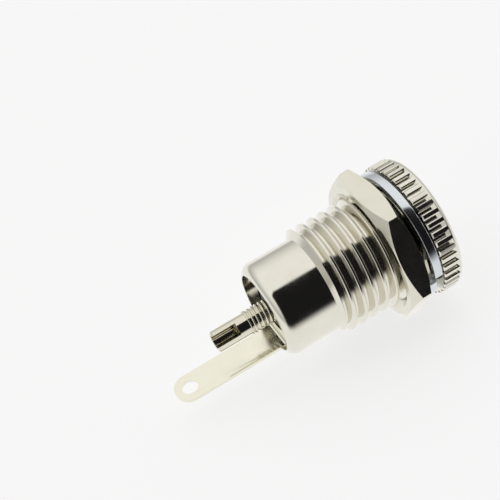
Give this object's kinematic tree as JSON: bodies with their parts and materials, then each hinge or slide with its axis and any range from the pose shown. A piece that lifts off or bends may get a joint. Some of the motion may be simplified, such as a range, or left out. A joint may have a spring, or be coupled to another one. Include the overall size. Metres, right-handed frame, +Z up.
{
  "type": "dc barrel jack",
  "caption": "Panel-mount DC power jack with a knurled head, threaded barrel, hexagon nut, split washer, slotted solder cup and bent solder lug.",
  "frame": {"origin": "on the barrel's axis, in the plane of the head's back face, which seats on the panel", "axes": "+Y along the axis from the mouth to the solder end, +Z up, away from the solder lug"},
  "size_m": [0.0174, 0.0306, 0.015],
  "materials": {
    "plated_housing": "bright nickel plate",
    "bronze_spring": "bare spring bronze",
    "black_plastic": "moulded",
    "plated_pin": "bright nickel plate",
    "plated_lug": "bright tin plate",
    "zinc_steel": "zinc plate",
    "plated_nut": "satin nickel plate"
  },
  "bodies": {
    "root": {"housing": "plated_housing", "contact_spring": "bronze_spring", "insulator": "black_plastic", "centre_pin": "plated_pin", "solder_lug": "plated_lug", "lock_washer": "zinc_steel", "hex_nut": "plated_nut"}
  },
  "joints": []
}
